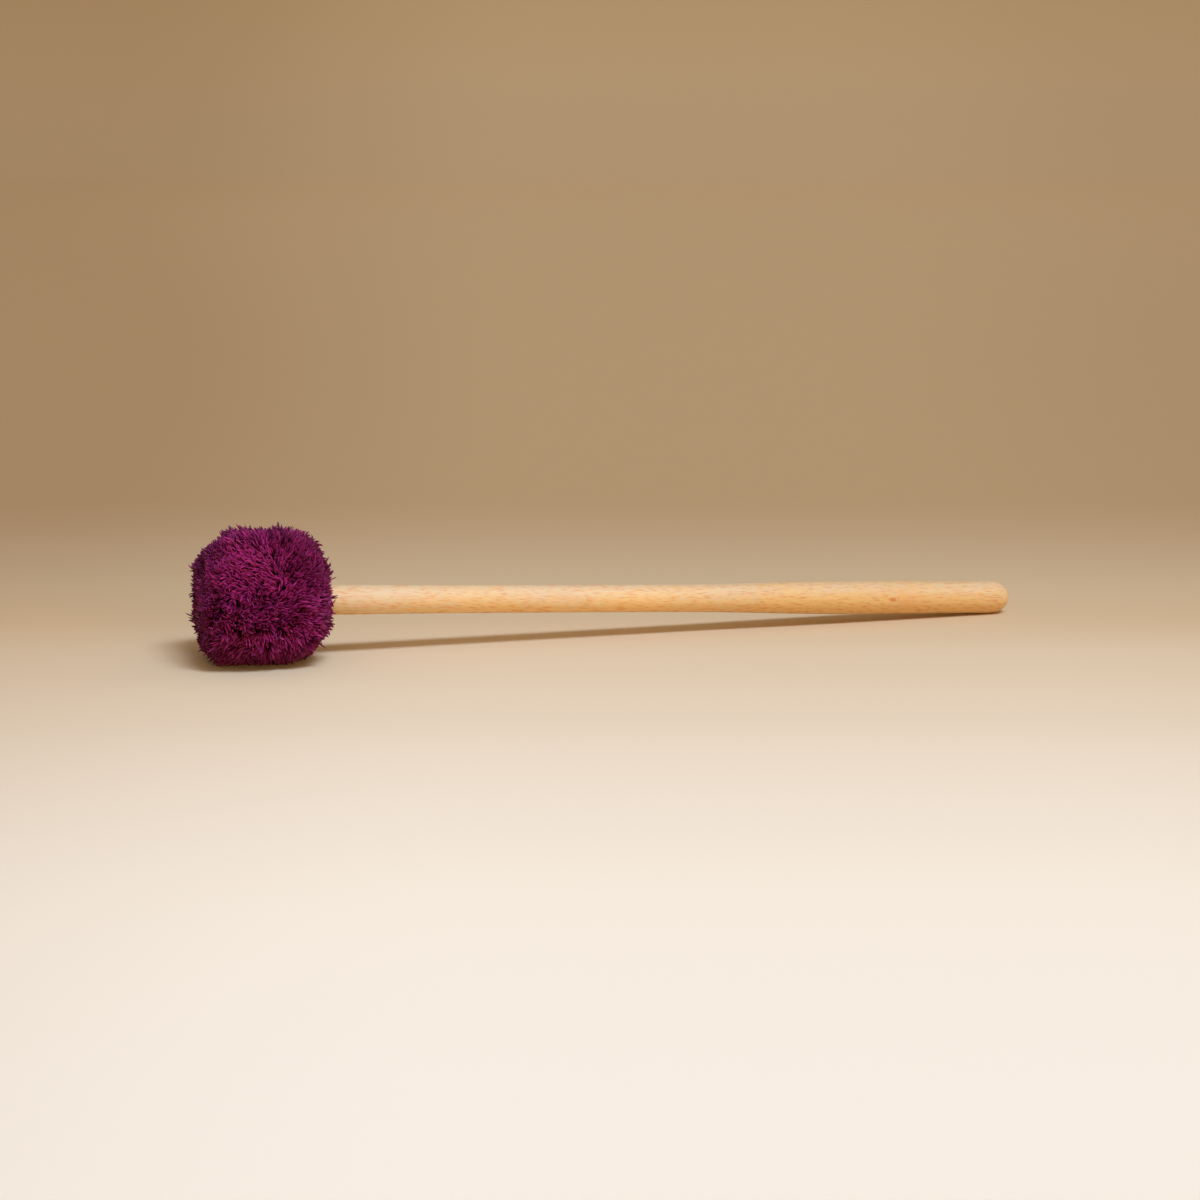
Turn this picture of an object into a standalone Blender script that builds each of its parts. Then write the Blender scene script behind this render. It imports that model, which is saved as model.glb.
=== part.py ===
"""Gong mallet: a turned beech handle and a weighted, felt-padded head in a plush cover.

The mallet lies as it rests on a table. The pile under the head is pressed flat on the
surface z = 0 and the butt of the handle touches it. Every piece is turned about the
mallet's own axis, which is the local Z of one empty: z = 0 at the front of the head and
z = OVERALL_LENGTH at the butt. Local +X points down to the table.
"""

import math

import bmesh
import bpy
from mathutils import Vector

MM = 0.001

# Whole mallet
OVERALL_LENGTH = 420 * MM
CLEARANCE = 0.3 * MM  # between neighbouring pieces

# Handle, outside
BUTT_DIAMETER = 16.6 * MM
BUTT_DOME_LENGTH = 10 * MM
GRIP_DIAMETER = 17.0 * MM
GRIP_LENGTH = 85 * MM  # from the butt to the widest place of the grip
GRIP_TAPER_LENGTH = 100 * MM
SHANK_DIAMETER = 13.7 * MM
NECK_DIAMETER = 14.4 * MM
NECK_FLARE_LENGTH = 60 * MM

# Handle, inside the head
TENON_DIAMETER = 10 * MM
TENON_CHAMFER = 0.6 * MM
TENON_SETBACK = 1.0 * MM  # the washer bears on the weight, not on the tenon

# Plush cover, measured over the pile
HEAD_LENGTH = 62 * MM
HEAD_DIAMETER = 67.4 * MM
HEAD_WIDEST = 37.5 * MM  # from the front of the head
FRONT_FACE_DIAMETER = 44 * MM
NECK_FACE_DIAMETER = 24 * MM
HEAD_FULLNESS = 2.2  # 2 rounds the head as an ellipse, more makes it squarer
COVER_THICKNESS = 9 * MM
FRONT_SEAM = 4 * MM  # seams, measured from the two ends of the head
NECK_SEAM = 6 * MM
SEAM_VALLEY = 1.2 * MM
PILE_CRUSH = 5.2 * MM  # how far the table presses the pile in under the widest place

# Tufts of the pile
TUFT_SIZE = 6 * MM
TUFT_HEIGHT = 2.0 * MM
TUFT_MIDDLE = 0.4  # share of the pattern that lies at the mean surface
PILE_GROUP = "pile"

# Paddings
SOFT_WRAP_THICKNESS = 3.4 * MM
FELT_WRAP_THICKNESS = 3.2 * MM
PAD_THICKNESS = 5 * MM

# Core and its hardware
CORE_WALL = 2.9 * MM  # wood round the weight
WEIGHT_LENGTH = 14 * MM
WASHER_DIAMETER = 16 * MM
WASHER_THICKNESS = 1.5 * MM
SCREW_DIAMETER = 4 * MM
SCREW_LENGTH = 25 * MM  # under the head
SCREW_TIP_LENGTH = 5 * MM
SCREW_HEAD_DIAMETER = 8 * MM
SCREW_HEAD_HEIGHT = 2.6 * MM
SCREW_DRIVE_DIAMETER = 3.2 * MM
SCREW_DRIVE_DEPTH = 1.6 * MM

# Sewing
SEAM_THREAD_DIAMETER = 0.9 * MM
TIE_CORD_DIAMETER = 1.6 * MM

# Fineness of the meshes
HANDLE_STEPS = 36
COVER_STEPS = 72
INNER_STEPS = 40
SMALL_STEPS = 24
THREAD_SIDES = 6
BAND_ROWS = 22
ROUNDING_ROWS = 5
FACE_ROWS = 6
ARC_SAMPLES = 400
MERGE_DISTANCE = 0.001 * MM
SHARP_ANGLE = math.radians(35)

# Colours, linear RGB
BEECH = (0.78, 0.54, 0.30)
CORE_WOOD = (0.55, 0.38, 0.22)
STEEL = (0.56, 0.57, 0.58)
FELT_WHITE = (0.72, 0.69, 0.62)
FELT_GREY = (0.42, 0.41, 0.40)
PLUSH = (0.19, 0.013, 0.10)
THREAD = (0.10, 0.008, 0.05)
CORD = (0.55, 0.50, 0.42)

# Places along the axis
CORE_FRONT = COVER_THICKNESS + PAD_THICKNESS + 2 * CLEARANCE
CORE_BACK = HEAD_LENGTH - CORE_FRONT
SCREW_SEAT = CORE_FRONT + SCREW_HEAD_HEIGHT + CLEARANCE
WASHER_FRONT = SCREW_SEAT + CLEARANCE
WEIGHT_FRONT = WASHER_FRONT + WASHER_THICKNESS + CLEARANCE
WEIGHT_BACK = WEIGHT_FRONT + WEIGHT_LENGTH
TENON_END = WEIGHT_FRONT + TENON_SETBACK
SHOULDER = CORE_BACK + CLEARANCE
COVER_BACK = HEAD_LENGTH - COVER_THICKNESS

# Radii inside the head
COVER_BORE = HEAD_DIAMETER / 2 - COVER_THICKNESS
PADDING_RADIUS = COVER_BORE - CLEARANCE
SOFT_WRAP_BORE = PADDING_RADIUS - SOFT_WRAP_THICKNESS
SEAM_ROOM = SEAM_THREAD_DIAMETER + math.sqrt(2) * (SEAM_THREAD_DIAMETER / 2 + 2 * CLEARANCE)
FELT_WRAP_RADIUS = SOFT_WRAP_BORE - CLEARANCE
FELT_WRAP_BORE = FELT_WRAP_RADIUS - FELT_WRAP_THICKNESS
CORE_RADIUS = FELT_WRAP_BORE - CLEARANCE
RECESS_RADIUS = CORE_RADIUS - CORE_WALL
WEIGHT_RADIUS = RECESS_RADIUS - CLEARANCE
HANDLE_HOLE = NECK_DIAMETER / 2 + CLEARANCE
TENON_HOLE = TENON_DIAMETER / 2 + CLEARANCE
PILOT_HOLE = SCREW_DIAMETER / 2 + CLEARANCE


def eased(start, end, share):
    """Half a cosine wave from start to end, level at both."""
    return start + (end - start) * (1 - math.cos(math.pi * share)) / 2


def shares(count):
    """count equal steps from just above 0 up to 1."""
    return [step / count for step in range(1, count + 1)]


def pile_radius(z):
    """Outside of the pile: two superelliptic arcs that meet at the widest place."""
    if z < HEAD_WIDEST:
        face, away = FRONT_FACE_DIAMETER / 2, 1 - z / HEAD_WIDEST
    else:
        face = NECK_FACE_DIAMETER / 2
        away = (z - HEAD_WIDEST) / (HEAD_LENGTH - HEAD_WIDEST)
    fill = (1 - min(1.0, abs(away)) ** HEAD_FULLNESS) ** (1 / HEAD_FULLNESS)
    return face + (HEAD_DIAMETER / 2 - face) * fill


def pile_rows(back, front, count):
    """count + 1 points down the outside of the pile, the same distance apart along it."""
    heights = [eased(back, front, step / ARC_SAMPLES) for step in range(ARC_SAMPLES + 1)]
    arc = [Vector((pile_radius(z), z)) for z in heights]
    lengths = [0.0]
    for before, after in zip(arc, arc[1:]):
        lengths.append(lengths[-1] + (after - before).length)
    rows = [tuple(arc[0])]
    reached = 0
    for share in shares(count - 1):
        while lengths[reached + 1] < share * lengths[-1] * (count - 1) / count:
            reached += 1
        rows.append(tuple(arc[reached]))
    rows.append(tuple(arc[-1]))
    return rows


def handle_outline():
    """The turned stick, from the middle of the butt down to the pilot hole in the tenon."""
    butt_radius = BUTT_DIAMETER / 2
    grip_radius = GRIP_DIAMETER / 2
    shank_radius = SHANK_DIAMETER / 2
    neck_radius = NECK_DIAMETER / 2
    dome_start = OVERALL_LENGTH - BUTT_DOME_LENGTH
    grip_widest = OVERALL_LENGTH - GRIP_LENGTH
    taper_end = grip_widest - GRIP_TAPER_LENGTH
    flare_start = HEAD_LENGTH + NECK_FLARE_LENGTH
    outline = [(0, OVERALL_LENGTH)]
    for share in shares(7):
        turn = share * math.pi / 2
        outline.append((butt_radius * math.sin(turn), dome_start + BUTT_DOME_LENGTH * math.cos(turn)))
    stretches = (
        (dome_start, grip_widest, butt_radius, grip_radius, 5),
        (grip_widest, taper_end, grip_radius, shank_radius, 12),
        (taper_end, flare_start, shank_radius, shank_radius, 1),
        (flare_start, HEAD_LENGTH, shank_radius, neck_radius, 7),
    )
    for start, end, first, last, count in stretches:
        for share in shares(count):
            outline.append((eased(first, last, share), start + (end - start) * share))
    pilot_end = SCREW_SEAT + SCREW_LENGTH + CLEARANCE
    return outline + [
        (neck_radius, SHOULDER),
        (TENON_DIAMETER / 2, SHOULDER),
        (TENON_DIAMETER / 2, TENON_END + TENON_CHAMFER),
        (TENON_DIAMETER / 2 - TENON_CHAMFER, TENON_END),
        (PILOT_HOLE, TENON_END),
        (PILOT_HOLE, pilot_end),
        (0, pilot_end + PILOT_HOLE),
    ]


def ring_outline(bore, radius, front, back):
    """A plain ring: down its outer side, then up its bore."""
    return [(radius, back), (radius, front), (bore, front), (bore, back)]


def disc_outline(radius, front, back):
    """A plain disc without a bore."""
    return [(0, back), (radius, back), (radius, front), (0, front)]


def core_outline():
    """A drum bored for the tenon, with a recess in front for weight, washer and screw head."""
    recess_floor = WEIGHT_BACK + CLEARANCE
    return [
        (CORE_RADIUS, CORE_BACK),
        (CORE_RADIUS, CORE_FRONT),
        (RECESS_RADIUS, CORE_FRONT),
        (RECESS_RADIUS, recess_floor),
        (TENON_HOLE, recess_floor),
        (TENON_HOLE, CORE_BACK),
    ]


def screw_outline():
    """A round-head wood screw, its point towards the butt and a plain drive recess in its head."""
    shank = SCREW_DIAMETER / 2
    head = SCREW_HEAD_DIAMETER / 2
    drive = SCREW_DRIVE_DIAMETER / 2
    tip = SCREW_SEAT + SCREW_LENGTH
    recess_floor = SCREW_SEAT - SCREW_HEAD_HEIGHT + SCREW_DRIVE_DEPTH
    outline = [(0, tip), (shank, tip - SCREW_TIP_LENGTH), (shank, SCREW_SEAT), (head, SCREW_SEAT)]
    for share in shares(4):
        turn = share * math.pi / 2
        across = drive + (head - drive) * math.cos(turn)
        outline.append((across, SCREW_SEAT - SCREW_HEAD_HEIGHT * math.sin(turn)))
    return outline + [(drive, recess_floor), (0, recess_floor)]


def soft_wrap_outline():
    """The outer padding strip, its corners bevelled to leave the seam threads room."""
    front = COVER_THICKNESS + CLEARANCE
    back = HEAD_LENGTH - front
    corner = max(PADDING_RADIUS - SEAM_ROOM, SOFT_WRAP_BORE + CLEARANCE)
    return [
        (corner, back),
        (PADDING_RADIUS, back - SEAM_ROOM),
        (PADDING_RADIUS, front + SEAM_ROOM),
        (corner, front),
        (SOFT_WRAP_BORE, front),
        (SOFT_WRAP_BORE, back),
    ]


def thread_outline(radius, z, diameter):
    """The round section of a thread that lies in a circle about the axis."""
    turns = [-2 * math.pi * side / THREAD_SIDES for side in range(THREAD_SIDES)]
    return [
        (radius + diameter / 2 * math.cos(turn), z + diameter / 2 * math.sin(turn))
        for turn in turns
    ]


def seam_face(seam, corner, side):
    """One face of a seam, from the pile to the cover's inside corner, half a clearance aside."""
    outer = Vector((pile_radius(seam) - SEAM_VALLEY, seam))
    inner = Vector((COVER_BORE, corner))
    along = (inner - outer).normalized()
    aside = Vector((along.y, -along.x)) * side * CLEARANCE / 2
    return tuple(outer + aside), tuple(inner + aside)


def cover_band_outline():
    """The side of the cover: pile outside, a plain bore, a slanted seam face at each end."""
    front_outer, front_inner = seam_face(FRONT_SEAM, COVER_THICKNESS, 1)
    neck_outer, neck_inner = seam_face(HEAD_LENGTH - NECK_SEAM, COVER_BACK, -1)
    back = HEAD_LENGTH - NECK_SEAM - SEAM_VALLEY
    pile = pile_rows(back, FRONT_SEAM + SEAM_VALLEY, BAND_ROWS)
    corners = [front_outer, front_inner, neck_inner]
    return [neck_outer, *pile, *corners], range(1, len(pile) + 1)


def cover_front_outline():
    """The round of plush over the front end, from its inside middle over its rim to its front."""
    outer, inner = seam_face(FRONT_SEAM, COVER_THICKNESS, -1)
    pile = pile_rows(FRONT_SEAM - SEAM_VALLEY, 0, ROUNDING_ROWS)
    face = [(FRONT_FACE_DIAMETER / 2 * (1 - share), 0) for share in shares(FACE_ROWS)]
    outline = [(0, COVER_THICKNESS), inner, outer, *pile, *face]
    return outline, range(3, len(outline))


def cover_neck_outline():
    """The ring of plush behind the head, with the handle's hole and room for the tie cord."""
    outer, inner = seam_face(HEAD_LENGTH - NECK_SEAM, COVER_BACK, 1)
    pile = pile_rows(HEAD_LENGTH, HEAD_LENGTH - NECK_SEAM + SEAM_VALLEY, ROUNDING_ROWS)
    cord_room = HANDLE_HOLE + TIE_CORD_DIAMETER + CLEARANCE
    room_end = COVER_BACK + TIE_CORD_DIAMETER + 2 * CLEARANCE
    outline = [(HANDLE_HOLE, HEAD_LENGTH), *pile, outer, inner]
    outline += [(cord_room, COVER_BACK), (cord_room, room_end), (HANDLE_HOLE, room_end)]
    return outline, range(1, len(pile) + 1)


def material(name, colour, roughness, metallic=0.0):
    made = bpy.data.materials.new(name)
    made.use_nodes = True
    shader = made.node_tree.nodes["Principled BSDF"]
    shader.inputs["Base Color"].default_value = (*colour, 1)
    shader.inputs["Roughness"].default_value = roughness
    shader.inputs["Metallic"].default_value = metallic
    return made


def turned(name, outline, axis, finish, steps, pile=(), closed=True):
    """A piece turned about the axis. An outline that starts and ends on the axis isn't closed.

    pile holds the rows of the outline that carry tufts, and becomes a vertex group.
    """
    shape = bmesh.new()
    weights = shape.verts.layers.deform.verify()
    corners = [shape.verts.new((radius, 0, z)) for radius, z in outline]
    for row in pile:
        corners[row][weights][0] = 1.0
    edges = [shape.edges.new(pair) for pair in zip(corners, corners[1:])]
    if closed:
        edges.append(shape.edges.new((corners[-1], corners[0])))
    bmesh.ops.spin(
        shape,
        geom=corners + edges,
        axis=(0, 0, 1),
        angle=2 * math.pi,
        steps=steps,
        use_merge=True,
    )
    bmesh.ops.remove_doubles(shape, verts=shape.verts, dist=MERGE_DISTANCE)
    bmesh.ops.recalc_face_normals(shape, faces=shape.faces)
    if shape.calc_volume(signed=True) < 0:
        bmesh.ops.reverse_faces(shape, faces=shape.faces)
    mesh = bpy.data.meshes.new(name)
    shape.to_mesh(mesh)
    shape.free()
    mesh.shade_smooth()
    mesh.set_sharp_from_angle(angle=SHARP_ANGLE)
    mesh.materials.append(finish)
    piece = bpy.data.objects.new(name, mesh)
    piece.vertex_groups.new(name=PILE_GROUP)
    piece.parent = axis
    bpy.context.scene.collection.objects.link(piece)
    return piece


def raise_tufts(piece, pattern):
    """Lifts the pile into tufts, with its seams left low."""
    relief = piece.modifiers.new("Tufts", "DISPLACE")
    relief.texture = pattern
    relief.texture_coords = "LOCAL"
    relief.vertex_group = PILE_GROUP
    relief.strength = -TUFT_HEIGHT
    relief.mid_level = TUFT_MIDDLE


def press_flat(piece, table):
    """Presses the pile flat where the table holds it up."""
    cut = piece.modifiers.new("Pressed flat", "BOOLEAN")
    cut.operation = "DIFFERENCE"
    cut.solver = "EXACT"
    cut.object = table


def table_cutter():
    """A block whose top is the surface that the mallet rests on."""
    shape = bmesh.new()
    bmesh.ops.create_cube(shape, size=2 * OVERALL_LENGTH)
    bmesh.ops.translate(shape, verts=shape.verts, vec=(0, 0, -OVERALL_LENGTH))
    mesh = bpy.data.meshes.new("table_cutter")
    shape.to_mesh(mesh)
    shape.free()
    block = bpy.data.objects.new("table_cutter", mesh)
    block.hide_render = True
    block.display_type = "WIRE"
    bpy.context.scene.collection.objects.link(block)
    return block


def front_height(tilt):
    """Height of the axis at the front of the head, from the pressed pile at its widest place."""
    return HEAD_DIAMETER / 2 - PILE_CRUSH + HEAD_WIDEST * math.sin(tilt)


def rest_tilt(outline):
    """The slope at which the handle's lowest point just touches the table, found by halving."""
    low, high = 0.0, math.pi / 4
    for _ in range(60):
        tilt = (low + high) / 2
        drop = min(-z * math.sin(tilt) - radius * math.cos(tilt) for radius, z in outline)
        if front_height(tilt) + drop > 0:
            low = tilt
        else:
            high = tilt
    return (low + high) / 2


def mallet_axis():
    """The empty that every piece is turned about. Its Z runs from the head down to the butt."""
    tilt = rest_tilt(handle_outline())
    axis = bpy.data.objects.new("mallet_axis", None)
    axis.location = (0, 0, front_height(tilt))
    axis.rotation_euler = (0, math.pi / 2 + tilt, 0)
    bpy.context.scene.collection.objects.link(axis)
    return axis


def centre_over_origin(axis, pieces):
    """Moves the mallet sideways until the middle of its outline is over the origin."""
    bpy.context.view_layer.update()
    graph = bpy.context.evaluated_depsgraph_get()
    corners = []
    for piece in pieces:
        seen = piece.evaluated_get(graph)
        corners += [seen.matrix_world @ vertex.co for vertex in seen.data.vertices]
    for side in (0, 1):
        places = [corner[side] for corner in corners]
        axis.location[side] -= (min(places) + max(places)) / 2


def make_core(axis):
    wood = material("core_wood", CORE_WOOD, 0.7)
    steel = material("steel", STEEL, 0.35, 1.0)
    weight = ring_outline(TENON_HOLE, WEIGHT_RADIUS, WEIGHT_FRONT, WEIGHT_BACK)
    washer = ring_outline(PILOT_HOLE, WASHER_DIAMETER / 2, WASHER_FRONT, WASHER_FRONT + WASHER_THICKNESS)
    return [
        turned("core", core_outline(), axis, wood, INNER_STEPS),
        turned("core_weight", weight, axis, steel, INNER_STEPS),
        turned("core_washer", washer, axis, steel, SMALL_STEPS),
        turned("core_screw", screw_outline(), axis, steel, SMALL_STEPS, closed=False),
    ]


def make_paddings(axis):
    white = material("felt_white", FELT_WHITE, 0.95)
    grey = material("felt_grey", FELT_GREY, 0.95)
    felt = ring_outline(FELT_WRAP_BORE, FELT_WRAP_RADIUS, CORE_FRONT, CORE_BACK)
    front_pad = disc_outline(FELT_WRAP_RADIUS, COVER_THICKNESS + CLEARANCE, CORE_FRONT - CLEARANCE)
    neck_pad = ring_outline(HANDLE_HOLE, FELT_WRAP_RADIUS, CORE_BACK + CLEARANCE, COVER_BACK - CLEARANCE)
    return [
        turned("felt_wrap", felt, axis, grey, INNER_STEPS),
        turned("soft_wrap", soft_wrap_outline(), axis, white, INNER_STEPS),
        turned("front_pad", front_pad, axis, white, INNER_STEPS, closed=False),
        turned("neck_pad", neck_pad, axis, white, INNER_STEPS),
    ]


def make_cover(axis):
    """The three sewn pieces of plush, with their seams and the cord that ties the neck."""
    plush = material("plush", PLUSH, 0.9)
    pattern = bpy.data.textures.new("pile_tufts", "VORONOI")
    pattern.noise_scale = TUFT_SIZE
    table = table_cutter()
    pieces = []
    outlines = (
        ("cover_band", cover_band_outline(), True),
        ("cover_front", cover_front_outline(), False),
        ("cover_neck", cover_neck_outline(), True),
    )
    for name, (outline, pile), closed in outlines:
        piece = turned(name, outline, axis, plush, COVER_STEPS, pile, closed)
        raise_tufts(piece, pattern)
        press_flat(piece, table)
        pieces.append(piece)
    return pieces


def make_sewing(axis):
    thread = material("thread", THREAD, 0.7)
    cord = material("cord", CORD, 0.8)
    thread_radius = PADDING_RADIUS - SEAM_THREAD_DIAMETER / 2
    thread_inset = CLEARANCE + SEAM_THREAD_DIAMETER / 2
    front = thread_outline(thread_radius, COVER_THICKNESS + thread_inset, SEAM_THREAD_DIAMETER)
    neck = thread_outline(thread_radius, COVER_BACK - thread_inset, SEAM_THREAD_DIAMETER)
    cord_z = COVER_BACK + CLEARANCE + TIE_CORD_DIAMETER / 2
    tie = thread_outline(HANDLE_HOLE + TIE_CORD_DIAMETER / 2, cord_z, TIE_CORD_DIAMETER)
    return [
        turned("front_seam_thread", front, axis, thread, INNER_STEPS),
        turned("neck_seam_thread", neck, axis, thread, INNER_STEPS),
        turned("neck_tie_cord", tie, axis, cord, SMALL_STEPS),
    ]


def main():
    for obj in list(bpy.data.objects):
        bpy.data.objects.remove(obj)
    axis = mallet_axis()
    beech = material("beech", BEECH, 0.45)
    pieces = [turned("handle", handle_outline(), axis, beech, HANDLE_STEPS, closed=False)]
    pieces += make_core(axis)
    pieces += make_paddings(axis)
    pieces += make_cover(axis)
    pieces += make_sewing(axis)
    centre_over_origin(axis, pieces)


main()
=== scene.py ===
"""Looks of the gong mallet: its plush pile, its beech handle and the felt, wood and steel inside.

Run as a script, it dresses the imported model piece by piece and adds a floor, a light and a
camera. Lengths are in metres. The mallet's own axis has its zero at the front of the head.
"""

import math

import bpy
import numpy as np
from bpy.props import FloatProperty, FloatVectorProperty, IntProperty, PointerProperty
from mathutils import Matrix, Vector


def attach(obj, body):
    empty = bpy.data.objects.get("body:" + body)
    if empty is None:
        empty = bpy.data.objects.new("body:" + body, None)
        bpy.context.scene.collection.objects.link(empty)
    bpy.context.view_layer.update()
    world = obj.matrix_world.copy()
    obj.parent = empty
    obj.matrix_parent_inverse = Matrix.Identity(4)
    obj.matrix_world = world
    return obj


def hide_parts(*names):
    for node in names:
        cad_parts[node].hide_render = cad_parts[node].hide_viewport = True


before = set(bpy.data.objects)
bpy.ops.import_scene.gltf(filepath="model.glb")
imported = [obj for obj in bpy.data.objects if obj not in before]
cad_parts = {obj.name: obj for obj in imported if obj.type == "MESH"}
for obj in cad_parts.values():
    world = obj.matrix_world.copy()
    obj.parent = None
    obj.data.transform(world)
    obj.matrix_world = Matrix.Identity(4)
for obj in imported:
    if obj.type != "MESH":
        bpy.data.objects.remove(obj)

bl_info = {
    "name": "Gong mallet",
    "version": (1, 0, 0),
    "blender": (4, 5, 0),
    "location": "View3D > Sidebar > Mallet",
    "description": "Dresses a gong mallet: plush pile, beech handle, felt and steel inside",
    "category": "Object",
}

MM = 0.001
BAKE_MAP = "OFBake"
SHARP_ANGLE = math.radians(35)
UP = Vector((0, 0, 1))

# Places along the mallet's own axis, and distances from it
MALLET_LENGTH = 420 * MM
STICK_START = 50 * MM  # behind it the handle is a plain stick, before it shoulder and tenon
CONTACT = 35 * MM  # over the middle of the pile that the table presses
PILE_HOLE = 7.4 * MM
STICK_CLEARED = 7.5 * MM  # as near as strands come to the axis behind STICK_START

# Strands of the pile
STRAND_LEVELS = 7  # points along a strand
LONGEST_STRAND = 11 * MM
SHORTEST_PILE = 2.6 * MM
PRESSED_BELOW = 1.8 * MM  # over the table
BAND_PIECES = 8  # equal sectors of the band's pile

# Painted light on the floor: its colour at places in front of the mallet (below zero) and behind it, pale in
# front where the light is painted as pooling and darker behind where it falls off
FLOOR_PAINTED_TONES = (
    (-0.56, (0.978, 0.872, 0.760)),
    (-0.37, (0.952, 0.832, 0.698)),
    (-0.20, (0.855, 0.705, 0.550)),
    (-0.10, (0.785, 0.618, 0.450)),
    (-0.03, (0.730, 0.560, 0.385)),
    (0.03, (0.655, 0.475, 0.298)),
    (0.14, (0.565, 0.415, 0.258)),
    (0.26, (0.495, 0.342, 0.202)),
    (0.40, (0.443, 0.295, 0.156)),
)
FLOOR_REACH = 12.0  # from the mallet to the camera's side and to both sides
BEND_STEPS = 48
BACKDROP_HEIGHT = 3.0  # over the bend

# The lamps' distances to the right, over the strip's height and the fill's distance
STRIP_ASIDE = (0.22, 0.37, 0.52)
FILL_ASIDE = 0.5


def length(text, default):
    return FloatProperty(name=text, description=text, default=default, subtype="DISTANCE")


def angle(text, degrees):
    return FloatProperty(name=text, description=text, default=math.radians(degrees), subtype="ANGLE")


def share(text, default):
    return FloatProperty(name=text, description=text, default=default, min=0, max=1, subtype="FACTOR")


def colour(text, default):
    return FloatVectorProperty(name=text, description=text, default=default, subtype="COLOR", min=0, max=1)


class HeadSettings(bpy.types.PropertyGroup):
    """The head, measured over the pile."""

    head_length: length("Length of the head", 62 * MM)
    diameter: length("Diameter of the head", 67.4 * MM)
    widest: length("Widest place from the front of the head", 37.5 * MM)
    front_face: length("Diameter of the flat front", 44 * MM)
    neck_face: length("Diameter of the flat round the handle", 24 * MM)
    fullness: FloatProperty(name="Fullness", description="2 is an ellipse, more is squarer", default=2.2)
    front_seam: length("Front seam from the front of the head", 4 * MM)
    neck_seam: length("Neck seam from the back of the head", 6 * MM)
    cloth_depth: length("Depth of the cloth under the pile", 5 * MM)
    cloth_thickness: length("Thickness of the backing cloth", 1.4 * MM)


class PileSettings(bpy.types.PropertyGroup):
    """The strands of the plush."""

    spacing: length("Distance between strands", 0.88 * MM)
    strand_width: length("Width of a strand", 0.86 * MM)
    tuft_spacing: length("Distance between tufts", 2.7 * MM)
    gathering: share("How far a tuft's tips draw together", 0.34)
    stray: share("How far a strand strays from its tuft", 0.54)
    height_spread: share("Unevenness of the height", 0.08)
    proud: length("How far the tips stand over the head's outside", 0.7 * MM)
    valley: length("Depth of the pile's valley over a seam", 0.6 * MM)
    parting: length("Parting over the head, from its front", 34 * MM)
    seed: IntProperty(name="Seed", description="Seed of the pile's unevenness", default=4)
    # The root colour is painted shade: the dark deep in the pile, where little light reaches.
    root_shade: colour("Colour at the root of a strand", (0.026, 0.0004, 0.010))
    bright: colour("Colour at the tip of a strand", (0.332, 0.0215, 0.171))
    gloss: colour("Tint of the fibres' gloss", (0.9, 0.28, 0.60))


class HandleSettings(bpy.types.PropertyGroup):
    """The turned handle and its beech."""

    # Pale and warm wood are mixed by the wood's unevenness and by painted light: paler on top, warmer
    # underneath.
    pale: colour("Pale wood", (0.68, 0.50, 0.312))
    warm: colour("Warm wood", (0.79, 0.50, 0.195))
    fleck: colour("Rays and pores", (0.64, 0.25, 0.075))
    halo: colour("Wood beside the knot", (0.67, 0.34, 0.115))
    knot: colour("Knot", (0.56, 0.20, 0.04))
    grip_darkening: share("How much darker the grip is", 0.12)
    ring_spacing: length("Distance between year rings", 2.3 * MM)
    fleck_length: length("Length of a ray fleck", 5.2 * MM)
    fleck_width: length("Width of a ray fleck", 0.52 * MM)
    knot_place: length("Knot from the front of the head", 352.8 * MM)


class StageSettings(bpy.types.PropertyGroup):
    """Floor, light and camera."""

    distance: length("Distance of the camera", 1.247)
    azimuth: angle("Turn of the camera", -16.02)
    elevation: angle("Slope of the camera's view", 12)
    lens: FloatProperty(name="Lens", description="Focal length", default=75.0, subtype="DISTANCE_CAMERA")
    aim: FloatVectorProperty(
        name="Aim", description="Aim", default=(-8.6 * MM, 5.9 * MM, 17.7 * MM), subtype="TRANSLATION"
    )
    ambient: colour("Light from all round", (0.44, 0.365, 0.27))
    from_left: share("How much weaker the light from the left is", 0.25)
    key: colour("Light of the strip overhead", (0.475, 0.59, 0.745))
    key_lean: angle("Lean of the strip towards the camera", 24)
    key_softness: angle("Angle that each lamp of the strip fills", 14)
    fill: colour("Light of the warm fill from the front", (0.415, 0.262, 0.048))
    fill_height: angle("Height of the fill over the floor", 7)
    fill_softness: angle("Angle that the fill's lamp fills", 34)
    # Painted shade on the floor towards both sides, where the light is painted as falling off.
    side_shade: colour("Tint over the floor at both sides", (0.5, 0.36, 0.22))
    wall: length("Backdrop behind the mallet", 5.0)
    wall_slope: angle("Slope of the backdrop", 84)
    wall_bend: length("Radius of the bend up to the backdrop", 1.0)
    # The raised backdrop's tint is painted shade: darker for the light falling off far behind the mallet, and
    # against the extra light that the steep bend catches.
    wall_height: length("Height of the backdrop's own colour", 0.24)
    painted_wall_shade: colour("Colour of the raised backdrop", (0.37, 0.26, 0.148))


class Value:
    """One output of a node. Sums on it add Math nodes to its shader."""

    def __init__(self, shader, socket):
        self.shader = shader
        self.socket = socket

    def maths(self, operation, *others):
        inputs = dict(enumerate((self, *others)))
        return self.shader.add("ShaderNodeMath", {"operation": operation}, inputs)

    def __add__(self, other):
        return self.maths("ADD", other)

    def __mul__(self, other):
        return self.maths("MULTIPLY", other)

    def __sub__(self, other):
        return self.maths("SUBTRACT", other)

    def __rsub__(self, other):
        return self.maths("MULTIPLY", -1.0).maths("ADD", other)

    def __truediv__(self, other):
        return self.maths("DIVIDE", other)

    def __pow__(self, other):
        return self.maths("POWER", other)

    def fading(self):
        """e to the power of minus the value."""
        return (self * -1.0).maths("EXPONENT")

    __radd__ = __add__
    __rmul__ = __mul__


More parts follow.
